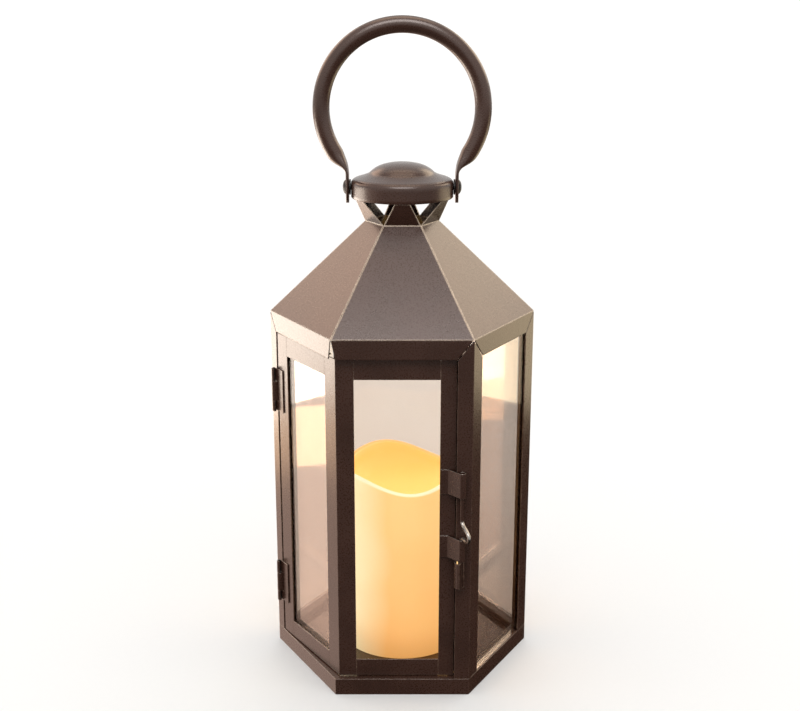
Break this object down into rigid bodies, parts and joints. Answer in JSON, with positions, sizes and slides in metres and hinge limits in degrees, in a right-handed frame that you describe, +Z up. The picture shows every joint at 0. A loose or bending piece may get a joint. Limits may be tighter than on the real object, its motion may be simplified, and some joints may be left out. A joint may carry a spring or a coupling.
{
  "type": "candle lantern",
  "caption": "Six-sided metal candle lantern with glass panes, a two-panel door with a turning rod latch, a vented roof, a round loop handle and a battery pillar candle.",
  "frame": {"origin": "on the lantern's vertical axis, in the plane of the surface it stands on", "axes": "+Z up; the front face with the latch looks towards -Y; +X is to the right of somebody who faces that front"},
  "size_m": [0.21, 0.1958, 0.517],
  "materials": {
    "bronze_paint": "satin dark bronze paint with a fine speckle",
    "dark_hardware": "black, satin",
    "bare_steel": "bare worn wire",
    "clear_glass": "clear float glass",
    "cream_wax": "smooth cream wax, lit from inside",
    "black_plastic": "moulded, fine texture",
    "warm_led": "clear warm epoxy",
    "circuit_board": "green solder mask",
    "battery_jacket": "printed jacket, no lettering",
    "spring_steel": "bright nickel"
  },
  "bodies": {
    "lantern": {"base_ring": "bronze_paint", "floor_plate": "bronze_paint", "post_left": "bronze_paint", "post_front_right": "bronze_paint", "post_right": "bronze_paint", "post_back_right": "bronze_paint", "post_back_left": "bronze_paint", "roof_panel_back_right": "bronze_paint", "roof_panel_back": "bronze_paint", "roof_panel_back_left": "bronze_paint", "roof_panel_front_left": "bronze_paint", "roof_panel_front": "bronze_paint", "roof_panel_front_right": "bronze_paint", "cap": "bronze_paint", "handle_rivet_left": "dark_hardware", "handle_rivet_right": "dark_hardware", "pivot_washer_left": "dark_hardware", "pivot_washer_right": "dark_hardware", "front_right_glass": "clear_glass", "front_right_glass_retainer": "bronze_paint", "back_right_glass": "clear_glass", "back_right_glass_retainer": "bronze_paint", "back_glass": "clear_glass", "back_glass_retainer": "bronze_paint", "back_left_glass": "clear_glass", "back_left_glass_retainer": "bronze_paint", "hinge_upper_fixed_leaf": "bronze_paint", "hinge_lower_fixed_leaf": "bronze_paint", "hinge_upper_pin": "dark_hardware", "hinge_lower_pin": "dark_hardware"},
    "door": {"door_hinge_stile": "bronze_paint", "door_corner_post": "bronze_paint", "door_latch_stile": "bronze_paint", "door_left_top_rail": "bronze_paint", "door_left_bottom_rail": "bronze_paint", "door_front_top_rail": "bronze_paint", "door_front_bottom_rail": "bronze_paint", "door_left_glass": "clear_glass", "door_left_glass_retainer": "bronze_paint", "door_front_glass": "clear_glass", "door_front_glass_retainer": "bronze_paint", "hinge_upper_door_leaf": "bronze_paint", "hinge_lower_door_leaf": "bronze_paint", "latch_loop_upper": "bronze_paint", "latch_loop_lower": "bronze_paint"},
    "latch": {"latch_rod": "bare_steel", "latch_tongue": "bronze_paint"},
    "handle": {"handle": "bronze_paint"},
    "candle": {"candle_wax": "cream_wax", "candle_base": "black_plastic", "battery_left": "battery_jacket", "battery_right": "battery_jacket", "battery_spring_left": "spring_steel", "battery_spring_right": "spring_steel", "led_stalk": "black_plastic", "led_board": "circuit_board", "led_bulb": "warm_led"},
    "candle_cover": {"battery_cover": "black_plastic", "battery_contact": "spring_steel"},
    "candle_switch": {"switch_knob": "dark_hardware"}
  },
  "joints": [
    {"name": "door_hinge", "type": "hinge", "parent": "lantern", "child": "door", "pos_m": [-0.10263, -0.00891, 0.14], "axis": [0, 0, -1], "range_deg": [0, 120]},
    {"name": "latch_turn", "type": "hinge", "parent": "door", "child": "latch", "pos_m": [0.045, -0.0942, 0.14], "axis": [0, 0, -1], "range_deg": [0, 95]},
    {"name": "handle_pivot", "type": "hinge", "parent": "lantern", "child": "handle", "pos_m": [0, 0, 0.3885], "axis": [1, 0, 0], "range_deg": [-130, 130]},
    {"name": "candle_lift", "type": "slide", "parent": "lantern", "child": "candle", "axis": [0, 0, 1], "range_m": [0, 0.05]},
    {"name": "battery_cover_turn", "type": "hinge", "parent": "candle", "child": "candle_cover", "pos_m": [0, 0, 0.0098], "axis": [0, 0, 1], "range_deg": [0, 30]},
    {"name": "switch_slide", "type": "slide", "parent": "candle", "child": "candle_switch", "axis": [1, 0, 0], "range_m": [0, 0.004]}
  ]
}
